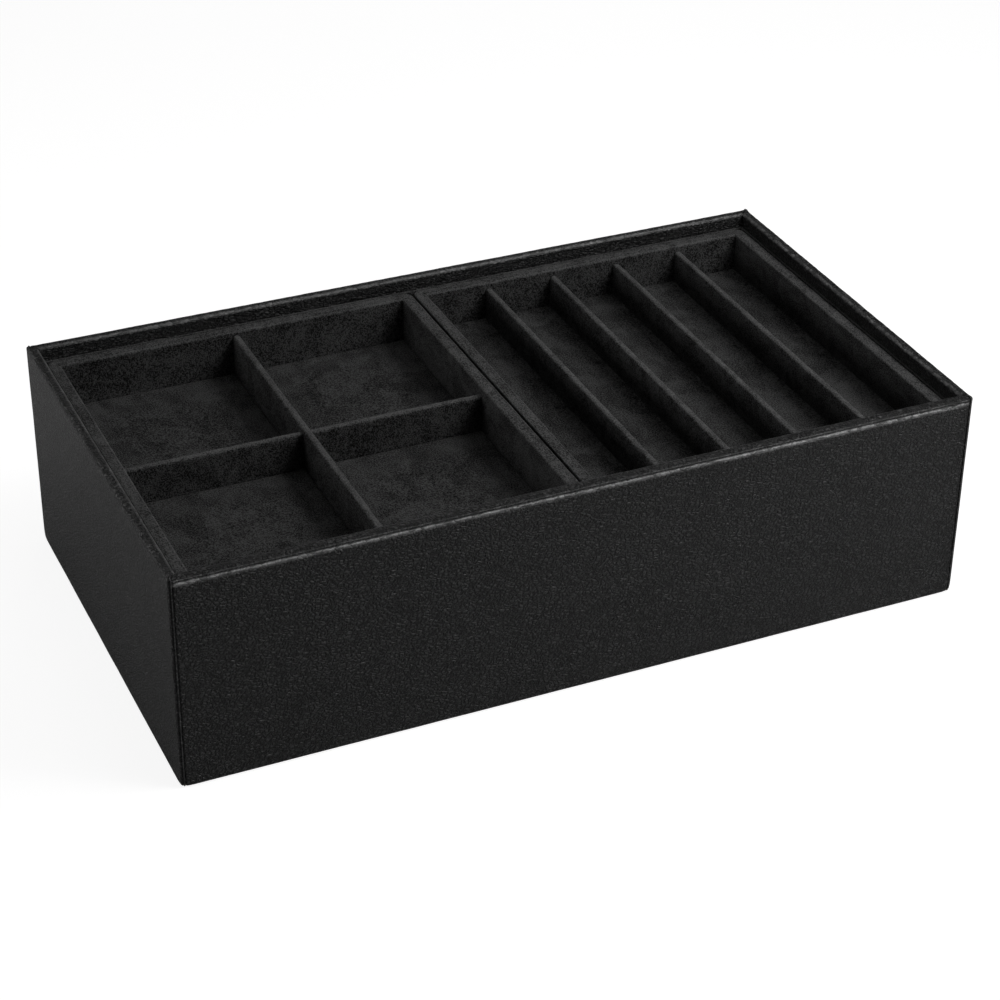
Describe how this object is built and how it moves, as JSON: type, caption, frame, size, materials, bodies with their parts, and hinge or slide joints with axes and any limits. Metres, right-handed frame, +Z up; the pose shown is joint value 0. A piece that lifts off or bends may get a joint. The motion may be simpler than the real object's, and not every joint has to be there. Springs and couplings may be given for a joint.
{
  "type": "leather storage box with lift-out trays",
  "caption": "Open-topped leather-covered box holding two suede trays that lift out, one with square compartments and one with long slots.",
  "frame": {"origin": "centre of the underside", "axes": "+X along the width, to the right seen from the front; +Y from the front to the back; +Z up"},
  "size_m": [0.4, 0.225, 0.1108],
  "materials": {
    "leather": "pebbled, satin",
    "suede": "brushed nap, matte",
    "padded_suede": "brushed nap over thin foam, matte",
    "lining_suede": "board covered in brushed suede, matte",
    "felt": "felt, matte",
    "tray_cloth": "plain weave cloth, matte",
    "case_board": "bare fibreboard, matte",
    "tray_board": "bare greyboard, matte"
  },
  "bodies": {
    "case": {"base_board": "case_board", "front_board": "case_board", "back_board": "case_board", "left_board": "case_board", "right_board": "case_board", "underside_cover": "felt", "front_leather": "leather", "back_leather": "leather", "left_leather": "leather", "right_leather": "leather", "front_lining": "lining_suede", "back_lining": "lining_suede", "left_lining": "lining_suede", "right_lining": "lining_suede", "front_ledge": "lining_suede", "back_ledge": "lining_suede", "left_ledge": "lining_suede", "right_ledge": "lining_suede", "storage_floor": "padded_suede"},
    "square_tray": {"square_tray_underside_cloth": "tray_cloth", "square_tray_base_board": "tray_board", "square_tray_front_board": "tray_board", "square_tray_back_board": "tray_board", "square_tray_left_board": "tray_board", "square_tray_right_board": "tray_board", "square_tray_suede": "suede", "square_long_divider_board": "tray_board", "square_long_divider_suede": "suede", "square_cross_divider_board": "tray_board", "square_cross_divider_suede_left": "suede", "square_cross_divider_suede_right": "suede", "square_floor_front_left": "padded_suede", "square_floor_front_right": "padded_suede", "square_floor_back_left": "padded_suede", "square_floor_back_right": "padded_suede"},
    "slot_tray": {"slot_tray_underside_cloth": "tray_cloth", "slot_tray_base_board": "tray_board", "slot_tray_front_board": "tray_board", "slot_tray_back_board": "tray_board", "slot_tray_left_board": "tray_board", "slot_tray_right_board": "tray_board", "slot_tray_suede": "suede", "slot_divider_board_1": "tray_board", "slot_divider_suede_1": "suede", "slot_divider_board_2": "tray_board", "slot_divider_suede_2": "suede", "slot_divider_board_3": "tray_board", "slot_divider_suede_3": "suede", "slot_divider_board_4": "tray_board", "slot_divider_suede_4": "suede", "slot_floor_1": "padded_suede", "slot_floor_2": "padded_suede", "slot_floor_3": "padded_suede", "slot_floor_4": "padded_suede", "slot_floor_5": "padded_suede"}
  },
  "joints": [
    {"name": "square_tray_lift", "type": "slide", "parent": "case", "child": "square_tray", "axis": [0, 0, 1], "range_m": [0, 0.08]},
    {"name": "slot_tray_lift", "type": "slide", "parent": "case", "child": "slot_tray", "axis": [0, 0, 1], "range_m": [0, 0.08]}
  ]
}
